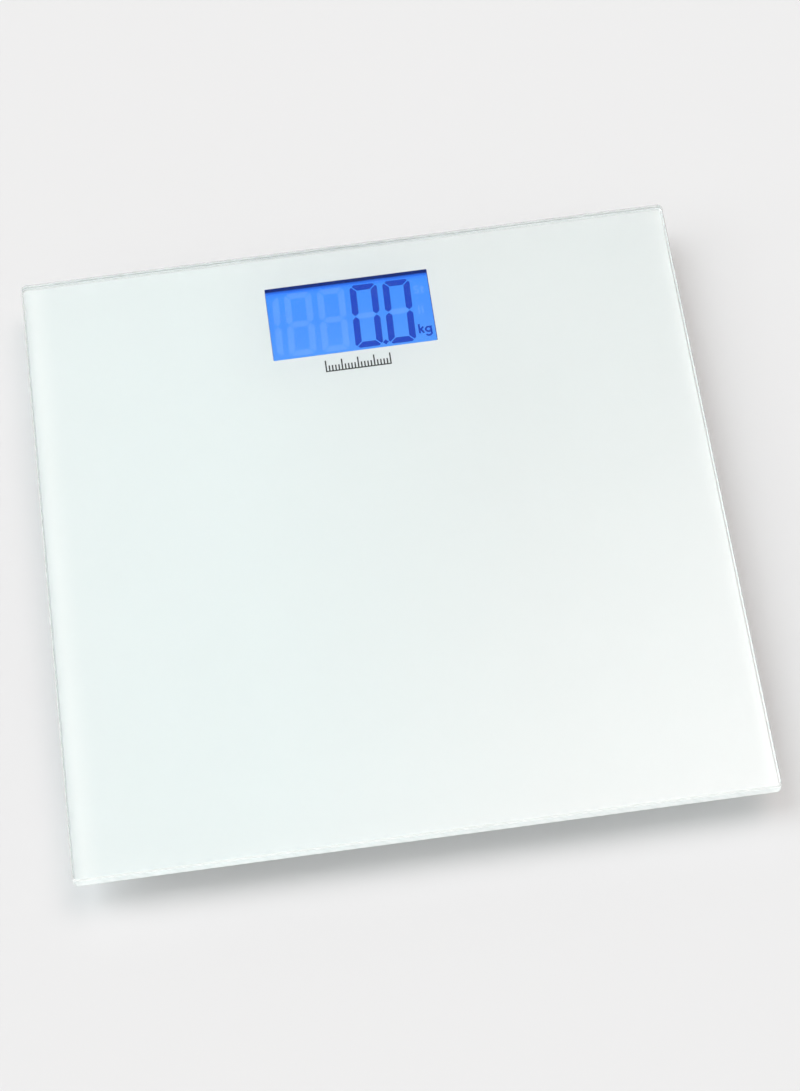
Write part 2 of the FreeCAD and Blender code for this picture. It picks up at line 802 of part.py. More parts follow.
def cover_lips():
    """Strips on the cover that stand just inside the shell's walls."""
    z = (COVER_TOP, COVER_TOP + LIP_H)
    inset = POD_WALL + LIP_GAP
    side = POD_HALF_W - inset
    back = POD_BACK - inset
    front = POD_FRONT + inset
    return [
        box((side - LIP_T, side), SIDE_LIP, z),
        box((-side, -side + LIP_T), SIDE_LIP, z),
        box((-BACK_LIP_HALF_W, BACK_LIP_HALF_W), (back - LIP_T, back), z),
        box((-FRONT_LIP_HALF_W, FRONT_LIP_HALF_W), (front, front + LIP_T), z),
    ]


def pod_cover():
    """The lower moulding: a plate with the door opening, button hole and locating lips."""
    plate = pod_outline((POD_Z, COVER_TOP))
    plate = plate.makeFillet(1.0, edges_at(plate, POD_Z))
    cover = joined([plate] + cover_lips())
    half_w = DOOR_HALF_W + DOOR_GAP
    front = DOOR_FRONT - DOOR_GAP
    z = (POD_Z, COVER_TOP)
    hole = SCREW_R + SCREW_PASS
    cover = cover.cut(box((-half_w, half_w), (front, BAY_BACK - 0.05), z))
    cover = cover.cut(cylinder(0, front, (POD_Z, POD_Z + 1.0), NAIL_NOTCH_R))
    cover = cover.cut(cylinder(BUTTON_X, BUTTON_Y, z, BUTTON_R + BUTTON_GAP))
    for x, y in COVER_SCREWS:
        cover = cover.cut(cylinder(x, y, z, hole))
        cover = cover.cut(
            Part.makeCone(COVER_SCREW_HEAD_R + hole - SCREW_R, hole, COUNTERSINK, V(x, y, POD_Z))
        )
    return cover


def cover_screws():
    """Countersunk cross-head screws."""
    screws = []
    for x, y in COVER_SCREWS:
        head = Part.makeCone(COVER_SCREW_HEAD_R, SCREW_R, COUNTERSINK, V(x, y, POD_Z))
        shank = cylinder(x, y, (POD_Z + COUNTERSINK, COVER_TOP + SCREW_BITE), SCREW_R)
        screws.append(joined([head, shank]).cut(cross_recess(x, y, POD_Z)))
    return group(screws)


def rating_label():
    """A blank label under the pod."""
    return slab(LABEL_X, LABEL_Y, (POD_Z - LABEL_T, POD_Z), 1.5)


# ---- batteries ----
def battery_door():
    """A plate with a barrel and two pins at its back edge, a spring tongue and a cell divider."""
    plate_z = (POD_Z, COVER_TOP)
    plate = slab((-DOOR_HALF_W, DOOR_HALF_W), (DOOR_FRONT, HINGE_Y), plate_z, 0.6)
    along = V(1, 0, 0)
    barrel = Part.makeCylinder(BARREL_R, 2 * BARREL_HALF_W, V(-BARREL_HALF_W, HINGE_Y, HINGE_Z), along)
    pins = Part.makeCylinder(PIN_R, 2 * PIN_HALF_W, V(-PIN_HALF_W, HINGE_Y, HINGE_Z), along)
    between = sum(CELL_ROWS) / 2
    divider = box(
        (-DIVIDER_HALF_W, DIVIDER_HALF_W),
        (between - DIVIDER_HALF_T, between + DIVIDER_HALF_T),
        (COVER_TOP, COVER_TOP + DIVIDER_H),
    )
    door = joined([plate, barrel, pins, divider])
    slit_y = (DOOR_FRONT - 1, DOOR_FRONT + TONGUE_LENGTH)
    for side in (-1, 1):
        slit_x = sorted((side * TONGUE_HALF_W, side * (TONGUE_HALF_W + SLIT)))
        door = door.cut(box(slit_x, slit_y, plate_z))
    for k in range(GRIP_RIBS):
        y = DOOR_FRONT + 2.0 + GRIP_PITCH * k
        door = door.cut(box((-GRIP_HALF_W, GRIP_HALF_W), (y, y + GRIP_GROOVE), (POD_Z, POD_Z + GRIP_DEPTH)))
    return door


def aaa_cell(row, plus_side):
    """A cell along X, its plus pole towards the side plus_side, with its crimped ends."""
    tip = plus_side * (BAY_HALF_W - CONTACT_T - BUMP)
    along = V(-plus_side, 0, 0)

    def stretch(start, length, radius):
        return Part.makeCylinder(
            radius, length, V(tip - plus_side * start, row, CELL_AXIS_Z), along
        )

    can = stretch(NUB_T + 0.3, CELL_LENGTH - NUB_T - 0.5, CELL_R)
    can = can.makeFillet(0.5, [e for e in can.Edges if e.Curve.TypeId == "Part::GeomCircle"])
    nub = stretch(0, NUB_T + 1.0, NUB_R)
    crimp = stretch(NUB_T, 1.0, CRIMP_R)
    flat_end = stretch(CELL_LENGTH / 2, CELL_LENGTH / 2, FLAT_END_R)
    return joined([nub, crimp, can, flat_end])


def contact_plate(row, side, half_w=CONTACT_HALF_W):
    inner = side * (BAY_HALF_W - CONTACT_T)
    outer = side * BAY_HALF_W
    return box(sorted((inner, outer)), (row - half_w, row + half_w), CONTACT_Z)


def contact_bump(row, side):
    base = side * (BAY_HALF_W - CONTACT_T)
    return Part.makeCone(BUMP_R, BUMP_TIP_R, BUMP, V(base, row, CELL_AXIS_Z), V(-side, 0, 0))


def contact_spring(row, side):
    """A coil from the plate to the flat end of the cell, of short runs and arcs."""
    seat = BAY_HALF_W - CONTACT_T
    rise = 2 * seat - BUMP - CELL_LENGTH - 2 * SPRING_WIRE_R
    steps = SPRING_TURNS * SPRING_STEPS
    points = []
    for k in range(steps + 1):
        angle = 2 * math.pi * k / SPRING_STEPS
        x = side * (seat - SPRING_WIRE_R - rise * k / steps)
        points.append((
            x, row + SPRING_R * math.cos(angle), CELL_AXIS_Z + SPRING_R * math.sin(angle)
        ))
    return swept(smooth_path(points)[0], points, SPRING_WIRE_R)


def solder_tab(row):
    """The tab that leaves the bay through a slot in its wall."""
    x = (-BAY_HALF_W - TAB_REACH, -BAY_HALF_W)
    return box(x, (row - TAB_HALF_W, row + TAB_HALF_W), TAB_Z)


def contact_positive():
    row = CELL_ROWS[0]
    return joined([contact_plate(row, -1), contact_bump(row, -1), solder_tab(row)])


def contact_negative():
    row = CELL_ROWS[1]
    return group([joined([contact_plate(row, -1), solder_tab(row)]), contact_spring(row, -1)])


def contact_bridge():
    """One plate behind both cells at the right, with a spring for one and a bump for the other."""
    middle = sum(CELL_ROWS) / 2
    half = (CELL_ROWS[1] - CELL_ROWS[0]) / 2 + CONTACT_HALF_W
    plate = joined([contact_plate(middle, 1, half), contact_bump(CELL_ROWS[1], 1)])
    return group([plate, contact_spring(CELL_ROWS[0], 1)])


# ---- wires ----
def smooth_path(points):
    """Straight runs joined by tangent arcs. Returns the wire and the smallest bend radius."""
    points = [V(*p) for p in points]
    edges = []
    start = points[0]
    tightest = math.inf
    for before, corner, after in zip(points, points[1:], points[2:]):
        into = corner - before
        out = after - corner
        half_turn = into.getAngle(out) / 2
        reach = BEND_SHARE * min(into.Length, out.Length)
        bend = reach / math.tan(half_turn)
        tightest = min(tightest, bend)
        into.normalize()
        out.normalize()
        first = corner - into * reach
        last = corner + out * reach
        inward = (out - into).normalize()
        middle = corner + inward * (bend / math.cos(half_turn) - bend)
        edges.append(Part.makeLine(start, first))
        edges.append(Part.Arc(first, middle, last).toShape())
        start = last
    edges.append(Part.makeLine(start, points[-1]))
    return Part.Wire(edges), tightest


def offset_route(points, sideways):
    """The same route moved sideways in plan, so that wires lie side by side."""
    def side_of(a, b):
        run = math.hypot(b[0] - a[0], b[1] - a[1])
        return ((b[1] - a[1]) / run, -(b[0] - a[0]) / run)

    sides = [side_of(a, b) for a, b in zip(points, points[1:])]
    moved = []
    for k, (x, y, z) in enumerate(points):
        first = sides[max(k - 1, 0)]
        last = sides[min(k, len(sides) - 1)]
        share = 1 + first[0] * last[0] + first[1] * last[1]
        moved.append((
            x + sideways * (first[0] + last[0]) / share,
            y + sideways * (first[1] + last[1]) / share,
            z,
        ))
    return moved


def swept(path, points, radius):
    """A round section swept along a smooth path through the points."""
    heading = V(*points[1]) - V(*points[0])
    section = Part.Wire(Part.makeCircle(radius, V(*points[0]), heading))
    return path.makePipeShell([section], True, False)


def wire_along(name, points, radius=WIRE_R):
    path, tightest = smooth_path(points)
    solid = swept(path, points, radius)
    drift = solid.Volume / (math.pi * radius**2 * path.Length) - 1
    print(f"{name}: {path.Length:.1f} mm long, tightest bend {tightest:.1f} mm, volume off by {drift:.4f}")
    return solid


# Routes from a strain gauge to the board, on the right-hand side, and from the cells' contacts to it.
FRONT_ROUTE = [
    (FOOT, -FOOT + 9.0, FOOT_WIRE_Z),
    (FOOT, -FOOT + 31.0, FOOT_WIRE_Z),
    (FOOT - 0.8, -FOOT + 47.0, GLASS_WIRE_Z),
    (FOOT - 2.0, -34.0, GLASS_WIRE_Z),
    (FOOT - 9.0, -12.0, GLASS_WIRE_Z),
    (FOOT - 31.0, 10.0, GLASS_WIRE_Z),
    (FOOT - 57.0, 22.0, GLASS_WIRE_Z),
    (FRONT_ENTRY_X + 4.0, 31.0, GLASS_WIRE_Z - 1.0),
    (FRONT_ENTRY_X, 44.0, FRONT_ENTRY_Z),
    (FRONT_ENTRY_X, 57.0, FRONT_ENTRY_Z),
    (FRONT_ENTRY_X, 74.0, UNDER_BOARD_WIRE_Z - 0.1),
    (FRONT_ENTRY_X, 92.0, UNDER_BOARD_WIRE_Z),
]
BACK_ROUTE = [
    (FOOT - 9.0, FOOT, FOOT_WIRE_Z),
    (FOOT - 32.0, FOOT, FOOT_WIRE_Z),
    (FOOT - 41.0, FOOT + 2.6, 15.6),
    (FOOT - 50.0, FOOT + 1.0, 14.6),
    (FOOT - 57.0, FOOT, SIDE_ENTRY_Z),
    (POD_HALF_W - 2.4, FOOT, SIDE_ENTRY_Z - 0.6),
    (POD_HALF_W - 7.4, FOOT, BOARD_TOP + WIRE_R + 0.1),
]
PLUS_ROUTE = [
    (-28.6, CELL_ROWS[0] + 0.4, TAB_Z[1] + WIRE_R + 0.05),
    (-31.0, 66.5, 14.5),
    (-32.4, 74.0, 11.4),
    (-32.2, 81.5, UNDER_BOARD_WIRE_Z - 0.2),
    (-31.0, 92.0, UNDER_BOARD_WIRE_Z),
]
MINUS_ROUTE = [
    (-28.6, CELL_ROWS[1] + 0.4, TAB_Z[1] + WIRE_R + 0.05),
    (-30.2, 77.2, 14.2),
    (-30.4, 81.8, UNDER_BOARD_WIRE_Z - 0.2),
    (-28.6, 92.0, UNDER_BOARD_WIRE_Z),
]
CLIP_PLACES = [(2, 0.3), (3, 0.5), (4, 0.5), (5, 0.5)]  # run of the front route, and how far along it


def lead_wires(place):
    """One wire of each of the four leads: place is -1, 0 or 1 across the lead."""
    wires = []
    for name, route in (("front lead", FRONT_ROUTE), ("back lead", BACK_ROUTE)):
        solid = wire_along(name, offset_route(route, place * WIRE_PITCH))
        wires += [solid, mirrored(solid)]
    return group(wires)


def battery_leads():
    """The two wires from the battery contacts to the board."""
    return group([wire_along("battery lead", route) for route in (PLUS_ROUTE, MINUS_ROUTE)])


def lead_solder_joints():
    """Solder cones on the board where the wires end."""
    leads = [(side, place) for side in (-1, 1) for place in (-1, 0, 1)]
    under = [(side * FRONT_ENTRY_X + place * WIRE_PITCH, FRONT_ROUTE[-1][1]) for side, place in leads]
    under += [(route[-1][0], route[-1][1]) for route in (PLUS_ROUTE, MINUS_ROUTE)]
    low = BOARD_Z - SOLDER_T
    joints = [
        Part.makeCone(SOLDER_TIP_R, SOLDER_R, SOLDER_T, V(x, y + SOLDER_R, low)) for x, y in under
    ]
    top_x = BACK_ROUTE[-1][0] - 0.7
    joints += [
        Part.makeCone(
            SOLDER_R, SOLDER_TIP_R, SOLDER_T, V(side * top_x, FOOT + place * WIRE_PITCH, BOARD_TOP)
        )
        for side, place in leads
    ]
    return group(joints)


def lead_clips():
    """Small saddles that hold the front leads against the underside of the platform."""
    length = (-SADDLE_HALF_L, SADDLE_HALF_L)
    saddle = box((-SADDLE_HALF_W, SADDLE_HALF_W), length, (PRINT_Z - SADDLE_T, PRINT_Z))
    lengthwise = [
        e
        for e in edges_at(saddle, PRINT_Z - SADDLE_T)
        if abs(e.tangentAt(e.FirstParameter).y) > 0.99
    ]
    saddle = saddle.makeFillet(0.8, lengthwise)
    saddle = saddle.cut(box((-TUNNEL_HALF_W, TUNNEL_HALF_W), length, (PRINT_Z - TUNNEL_T, PRINT_Z)))
    clips = []
    for run, share in CLIP_PLACES:
        a = V(*FRONT_ROUTE[run])
        b = V(*FRONT_ROUTE[run + 1])
        clip = saddle.copy()
        heading = math.degrees(math.atan2(b.y - a.y, b.x - a.x))
        clip.rotate(V(0, 0, 0), V(0, 0, 1), heading - 90)
        spot = a + (b - a) * share
        clip.translate(V(spot.x, spot.y, 0))
        clips += [clip, mirrored(clip)]
    return group(clips)


# ---- feet, drawn about their own axis with the lead leaving towards +Y ----
def placed(shape, corner):
    """A foot's piece moved from its own axis to a corner of the platform."""
    side_x, side_y, turn = CORNERS[corner]
    there = shape.copy()
    there.rotate(V(0, 0, 0), V(0, 0, 1), turn)
    there.translate(V(side_x * FOOT, side_y * FOOT, 0))
    return there


def foot_tape():
    return ring(0, 0, (TAPE_Z, PRINT_Z), HOUSING_R - TAPE_INSET, FOOT_TAPE_HOLE_R)


def cap_hooks():
    """Four curved hooks inside the housing's rim that keep the cap in."""
    hooks = ring(0, 0, (HOUSING_Z, HOOK_TOP), HOUSING_R - HOUSING_WALL + 0.5, HOOK_R)
    for turn in range(4):
        gap = box(HOOK_GAP, (-HOOK_GAP_HALF, HOOK_GAP_HALF), (HOUSING_Z, HOOK_TOP))
        gap.rotate(V(0, 0, 0), V(0, 0, 1), 90 * turn)
        hooks = hooks.cut(gap)
    return hooks


def load_cell_holders(roof_z):
    """The seats that the load cell bears against, and the claws and stops around it."""
    inner = LOAD_CELL / 2 + CLIP_GAP
    outer = inner + CLIP_T
    claw_z = (LOAD_CELL_Z - CLAW_DROP, LOAD_CELL_Z)
    shapes = []
    for side in (-1, 1):
        seat_x = sorted(side * x for x in SEAT_X)
        shapes.append(box(seat_x, (-SEAT_HALF, SEAT_HALF), (LOAD_CELL_Z + LOAD_CELL_T, roof_z)))
        post_x = sorted((side * inner, side * outer))
        shapes.append(box(post_x, (-CLAW_HALF, CLAW_HALF), (claw_z[0], roof_z)))
        claw_x = sorted((side * (LOAD_CELL / 2 - CLAW_HOLD), side * outer))
        shapes.append(box(claw_x, (-CLAW_HALF, CLAW_HALF), claw_z))
        stop_x = sorted(side * x for x in STOP_X)
        for end in (-1, 1):
            shapes.append(box(stop_x, sorted((end * inner, end * outer)), (LOAD_CELL_Z, roof_z)))
    return shapes


def foot_housing():
    """A round cup that hangs from the platform, with seats for the load cell and cap hooks."""
    roof_z = TAPE_Z - HOUSING_ROOF
    inner_r = HOUSING_R - HOUSING_WALL
    cup = cylinder(0, 0, (HOUSING_Z, TAPE_Z), HOUSING_R)
    cup = cup.makeFillet(0.8, edges_at(cup, HOUSING_Z))
    cup = cup.cut(cylinder(0, 0, (HOUSING_Z, roof_z), inner_r))
    housing = joined([cup, cap_hooks()] + load_cell_holders(roof_z))
    outlet_z = (FOOT_WIRE_Z - 2 * WIRE_R, roof_z)
    outlet = box((-ENTRY_HALF, ENTRY_HALF), (inner_r - 1, HOUSING_R + 1), outlet_z)
    return housing.cut(outlet)


def load_cell():
    """A steel plate whose middle tongue is cut free on three sides."""
    half = LOAD_CELL / 2
    z = (LOAD_CELL_Z, LOAD_CELL_Z + LOAD_CELL_T)
    plate = slab((-half, half), (-half, half), z, LOAD_CELL_R)
    slots = [
        box(sorted(side * x for x in TONGUE_SLOT), (TONGUE_TIP_Y, TONGUE_ROOT_Y), z)
        for side in (-1, 1)
    ]
    reach = TONGUE_SLOT[1]
    slots.append(box((-reach, reach), (TONGUE_TIP_Y, TONGUE_TIP_Y + TONGUE_TIP_SLOT), z))
    plate = plate.cut(joined(slots))
    for side in (-1, 1):
        for end in (-1, 1):
            plate = plate.cut(cylinder(side * CELL_HOLE[0], end * CELL_HOLE[1], z, CELL_HOLE_R))
    return plate


def strain_gauge():
    """The gauge under its drop of white sealant, on the root of the tongue."""
    top = LOAD_CELL_Z + LOAD_CELL_T
    return slab((-GAUGE_HALF_W, GAUGE_HALF_W), GAUGE_Y, (top, top + GAUGE_T), 1.5)


def foot_cap():
    """The moving cap: a shallow cup whose middle boss bears on the load cell's tongue."""
    base_top = CAP_Z + CAP_FLOOR
    body = cylinder(0, 0, (CAP_Z, CAP_TOP), CAP_R)
    body = body.makeFillet(0.8, edges_at(body, CAP_Z))
    flange = cylinder(0, 0, (HOOK_TOP + CAP_DROP, CAP_TOP), CAP_FLANGE_R)
    body = joined([body, flange])
    body = body.cut(cylinder(0, 0, (base_top, CAP_TOP), CAP_R - CAP_WALL))
    boss = cylinder(0, 0, (base_top - 0.5, LOAD_CELL_Z), CAP_BOSS_R)
    ribs = []
    for turn in range(CAP_RIBS):
        rib = box(
            (-CAP_R + 1, CAP_R - 1), (-CAP_RIB_HALF, CAP_RIB_HALF), (base_top - 0.5, CAP_TOP - 0.8)
        )
        rib.rotate(V(0, 0, 0), V(0, 0, 1), 180 / CAP_RIBS * turn)
        ribs.append(rib)
    cap = joined([body, boss] + ribs)
    return cap.cut(cylinder(0, 0, (CAP_Z, PAD_T), PAD_R + 0.05))


def foot_pad():
    """A rubber disc with ring-shaped treads."""
    pad = cylinder(0, 0, (0, PAD_T), PAD_R)
    pad = pad.makeFillet(0.5, edges_at(pad, 0))
    for radius in TREADS:
        pad = pad.cut(ring(0, 0, (0, TREAD_DEPTH), radius + TREAD_HALF, radius - TREAD_HALF))
    return pad


# ---- the whole object ----
NODES = {
    "glass_platform": glass_platform,
    "white_back_print": white_back_print,
    "tick_mark_print": tick_mark_print,
    "display_gasket": display_gasket,
    "lcd_front_polariser": lcd_front_polariser,
    "lcd_front_glass": lcd_front_glass,
    "lcd_seal": lcd_seal,
    "lcd_lit_segments": lcd_lit_segments,
    "lcd_unlit_segments": lcd_unlit_segments,
    "lcd_rear_glass": lcd_rear_glass,
    "lcd_rear_polariser": lcd_rear_polariser,
    "backlight_diffuser": backlight_diffuser,
    "backlight_light_guide": backlight_light_guide,
    "backlight_reflector": backlight_reflector,
    "backlight_leds": backlight_leds,
    "lcd_frame": lcd_frame,
    "zebra_connector": zebra_connector,
    "circuit_board": circuit_board,
    "controller_chip": controller_chip,
    "board_components": board_components,
    "board_screws": board_screws,
    "lead_solder_joints": lead_solder_joints,
    "unit_switch": unit_switch,
    "unit_switch_plunger": unit_switch_plunger,
    "unit_button": unit_button,
    "pod_tape": pod_tape,
    "pod_shell": pod_shell,
    "pod_cover": pod_cover,
    "cover_screws": cover_screws,
    "rating_label": rating_label,
    "battery_door": battery_door,
    "battery_front": lambda: aaa_cell(CELL_ROWS[0], -1),
    "battery_back": lambda: aaa_cell(CELL_ROWS[1], 1),
    "contact_positive": contact_positive,
    "contact_negative": contact_negative,
    "contact_bridge": contact_bridge,
    "battery_leads": battery_leads,
    "lead_wires_red": lambda: lead_wires(-1),
    "lead_wires_black": lambda: lead_wires(0),
    "lead_wires_white": lambda: lead_wires(1),
    "lead_clips": lead_clips,
    "foot_tapes": lambda: group([placed(foot_tape(), corner) for corner in CORNERS]),
    "strain_gauges": lambda: group([placed(strain_gauge(), corner) for corner in CORNERS]),
}

FOOT_PIECES = {
    "foot_housing": foot_housing,
    "load_cell": load_cell,
    "foot_cap": foot_cap,
    "foot_pad": foot_pad,
}


def write_node(name, shape):
    if not shape.isValid():
        print(f"{name} is not a valid shape")
    shape.exportStep(os.path.join("parts", f"{name}.step"))


def main():
    os.makedirs("parts", exist_ok=True)
    for name, make in NODES.items():
        write_node(name, make())
    for name, make in FOOT_PIECES.items():
        piece = make()
        for corner in CORNERS:
            write_node(f"{name}_{corner}", placed(piece, corner))


main()
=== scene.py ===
import json
import math

import bmesh
import bpy
from mathutils import Matrix, Vector

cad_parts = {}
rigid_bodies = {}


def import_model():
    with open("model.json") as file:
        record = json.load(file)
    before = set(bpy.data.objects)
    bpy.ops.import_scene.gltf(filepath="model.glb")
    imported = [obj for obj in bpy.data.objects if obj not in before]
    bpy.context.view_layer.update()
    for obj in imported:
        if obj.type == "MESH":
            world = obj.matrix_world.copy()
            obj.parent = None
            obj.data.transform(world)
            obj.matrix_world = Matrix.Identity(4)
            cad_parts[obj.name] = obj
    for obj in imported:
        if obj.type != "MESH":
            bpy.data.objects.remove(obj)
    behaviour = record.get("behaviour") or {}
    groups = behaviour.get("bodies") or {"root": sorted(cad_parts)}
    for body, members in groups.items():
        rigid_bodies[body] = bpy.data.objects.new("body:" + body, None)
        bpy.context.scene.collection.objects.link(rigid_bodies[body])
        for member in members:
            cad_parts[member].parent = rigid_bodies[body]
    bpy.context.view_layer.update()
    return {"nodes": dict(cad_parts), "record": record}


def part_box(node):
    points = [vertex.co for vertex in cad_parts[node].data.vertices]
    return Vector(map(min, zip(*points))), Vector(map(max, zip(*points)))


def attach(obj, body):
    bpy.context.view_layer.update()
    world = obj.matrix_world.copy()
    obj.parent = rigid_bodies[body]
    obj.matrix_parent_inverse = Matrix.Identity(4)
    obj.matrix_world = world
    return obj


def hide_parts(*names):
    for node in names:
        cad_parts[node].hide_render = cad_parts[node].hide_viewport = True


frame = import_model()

NODES = frame["nodes"]
MM = 0.001

# ---- where things are, read from the frame ----
GLASS_LOW, GLASS_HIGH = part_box("glass_platform")
TOP_Z = GLASS_HIGH.z
MIDDLE_Z = GLASS_LOW.z + 0.5 * (TOP_Z - GLASS_LOW.z)
HALF = GLASS_HIGH.x

# ---- camera ----
CAMERA_TARGET = Vector((0.00593, -0.01201, TOP_Z))
CAMERA_DISTANCE = 1.37128
CAMERA_AZIMUTH = math.radians(-3.82704)
CAMERA_ELEVATION = math.radians(61.20624)
CAMERA_ROLL = math.radians(-4.1549)
CAMERA_LENS = 103.02868
CAMERA_SENSOR = 36
CAMERA_RANGE = (0.01, 50)

# ---- floor and light: a direction is an azimuth from the back (+Y) to the right (+X), and an elevation ----
FLOOR = (0.688, 0.711, 0.72)
FLOOR_HALF = 20.0
AMBIENT = 0.665             # even light all round
AMBIENT_COLOUR = (1.0, 0.98, 0.95)
DARK = 0.5                  # taken off it in a gap that the display end of the glass mirrors
DARK_CENTRE = (0, 52)
DARK_RADIUS = 26
GLOW = 3.1                  # a soft bright patch overhead, mirrored by the near right corner of the glass
GLOW_CENTRE = (54, 69)
GLOW_RADIUS = 24
GLOW_COLOUR = (1.0, 0.82, 0.79)
KEY_FROM = (-65, 52)        # a large softbox at the back left
KEY_SOFTNESS = 42
KEY_STRENGTH = 1.3
KEY_COLOUR = (0.94, 0.97, 1.0)
LOW_FROM = (-98, 25)        # a low softbox at the left
LOW_SOFTNESS = 35
LOW_STRENGTH = 0.6
UNDER_FROM = (-150, -60)    # shines up through the floor onto the underside only
UNDER_SOFTNESS = 60
UNDER_STRENGTH = 0.8
CLEAR_PIECES = ("glass_platform", "ground_glass_arrises")   # left out of it
BACKDROP = (0.83, 0.835, 0.84)    # what the camera sees past the floor


def make_camera():
    a, e, roll = CAMERA_AZIMUTH, CAMERA_ELEVATION, CAMERA_ROLL
    back = Vector((math.sin(a) * math.cos(e), -math.cos(a) * math.cos(e), math.sin(e)))
    level_right = Vector((math.cos(a), math.sin(a), 0))
    level_up = back.cross(level_right)
    right = level_right * math.cos(roll) + level_up * math.sin(roll)
    up = back.cross(right)
    data = bpy.data.cameras.new("camera")
    data.lens = CAMERA_LENS
    data.sensor_width = CAMERA_SENSOR
    data.clip_start, data.clip_end = CAMERA_RANGE
    camera = bpy.data.objects.new("camera", data)
    bpy.context.scene.collection.objects.link(camera)
    place = CAMERA_TARGET + back * CAMERA_DISTANCE
    camera.matrix_world = Matrix((
        (right.x, up.x, back.x, place.x),
        (right.y, up.y, back.y, place.y),
        (right.z, up.z, back.z, place.z),
        (0, 0, 0, 1),
    ))
    bpy.context.scene.camera = camera


# ---- node helpers ----
NOISE_SPAN = (0.3, 0.7)     # nearly all of a noise's values lie in it


class Shader:
    """One material's node tree, with short calls for the nodes that repeat."""

    def __init__(self, name):
        self.material = bpy.data.materials.new(name)
        self.material.use_nodes = True
        self.nodes = self.material.node_tree.nodes
        self.links = self.material.node_tree.links
        self.nodes.clear()
        self.output = self.nodes.new("ShaderNodeOutputMaterial")
        self.coordinates = self.nodes.new("ShaderNodeTexCoord").outputs["Object"]

    def link(self, source, target):
        self.links.new(source, target)

    def principled(self, **settings):
        node = self.nodes.new("ShaderNodeBsdfPrincipled")
        for name, value in settings.items():
            node.inputs[name.replace("_", " ")].default_value = value
        self.surface(node.outputs[0])
        return node

    def surface(self, source):
        self.link(source, self.output.inputs["Surface"])

    def clear(self, tint=(1, 1, 1, 1)):
        node = self.nodes.new("ShaderNodeBsdfTransparent")
        node.inputs["Color"].default_value = tint
        return node

    def stretched(self, scale):
        node = self.nodes.new("ShaderNodeMapping")
        node.inputs["Scale"].default_value = scale
        self.link(self.coordinates, node.inputs["Vector"])
        return node.outputs[0]

    def noise(self, scale, detail=2.0, roughness=0.5, where=None):
        node = self.nodes.new("ShaderNodeTexNoise")
        node.inputs["Scale"].default_value = scale
        node.inputs["Detail"].default_value = detail
        node.inputs["Roughness"].default_value = roughness
        self.link(where or self.coordinates, node.inputs["Vector"])
        return node.outputs["Fac"]

    def ramp(self, factor, stops):
        node = self.nodes.new("ShaderNodeValToRGB")
        elements = node.color_ramp.elements
        elements[0].position, elements[1].position = stops[0][0], stops[-1][0]
        for position, _ in stops[1:-1]:
            elements.new(position)
        for element, (_, colour) in zip(elements, stops):
            element.color = (*colour, 1)
        self.link(factor, node.inputs["Fac"])
        return node.outputs["Color"]

    def spread(self, factor, low, high, from_low=0.0, from_high=1.0):
        node = self.nodes.new("ShaderNodeMapRange")
        node.inputs["From Min"].default_value = from_low
        node.inputs["From Max"].default_value = from_high
        node.inputs["To Min"].default_value = low
        node.inputs["To Max"].default_value = high
        self.link(factor, node.inputs["Value"])
        return node.outputs["Result"]

    def math(self, operation, a, b=0.0):
        node = self.nodes.new("ShaderNodeMath")
        node.operation = operation
        for socket, value in zip(node.inputs, (a, b)):
            if isinstance(value, (int, float)):
                socket.default_value = value
            else:
                self.link(value, socket)
        return node.outputs[0]

    def bump(self, height, depth):
        node = self.nodes.new("ShaderNodeBump")
        node.inputs["Strength"].default_value = 1.0
        node.inputs["Distance"].default_value = depth
        self.link(height, node.inputs["Height"])
        return node.outputs[0]

    def axis(self, name):
        node = self.nodes.new("ShaderNodeSeparateXYZ")
        self.link(self.coordinates, node.inputs[0])
        return node.outputs[name]

    def facing(self, name):
        """One component of the direction that the surface faces."""
        node = self.nodes.new("ShaderNodeSeparateXYZ")
        self.link(self.nodes.new("ShaderNodeNewGeometry").outputs["True Normal"], node.inputs[0])
        return node.outputs[name]

    def blend(self, factor, first, second):
        """One colour turning into another; each is a socket or a fixed RGBA."""
        node = self.nodes.new("ShaderNodeMix")
        node.data_type = "RGBA"
        self.link(factor, node.inputs["Factor"])
        for socket, value in zip((node.inputs[6], node.inputs[7]), (first, second)):
            if isinstance(value, tuple):
                socket.default_value = value
            else:
                self.link(value, socket)
        return node.outputs[2]

    def mix(self, factor, first, second):
        """One shader turning into another."""
        node = self.nodes.new("ShaderNodeMixShader")
        if isinstance(factor, (int, float)):
            node.inputs[0].default_value = factor
        else:
            self.link(factor, node.inputs[0])
        self.link(first, node.inputs[1])
        self.link(second, node.inputs[2])
        return node.outputs[0]


def mottled(shader, bsdf, colour, change=0.03, scale=30.0):
    """Colour that drifts slightly over the surface."""
    low = tuple(c * (1 - change) for c in colour)
    high = tuple(min(c * (1 + change), 1.0) for c in colour)
    factor = shader.noise(scale, 4)
    shader.link(shader.ramp(factor, list(zip(NOISE_SPAN, (low, high)))), bsdf.inputs["Base Color"])


def moulded_plastic(name, colour, rough=(0.42, 0.56), grain=4000.0, depth=0.02 * MM, **settings):
    """A moulding with a fine spark texture."""
    s = Shader(name)
    bsdf = s.principled(**settings)
    mottled(s, bsdf, colour)
    s.link(s.spread(s.noise(60, 3), *rough, *NOISE_SPAN), bsdf.inputs["Roughness"])
    s.link(s.bump(s.noise(grain, 2, 0.6), depth), bsdf.inputs["Normal"])
    return s.material


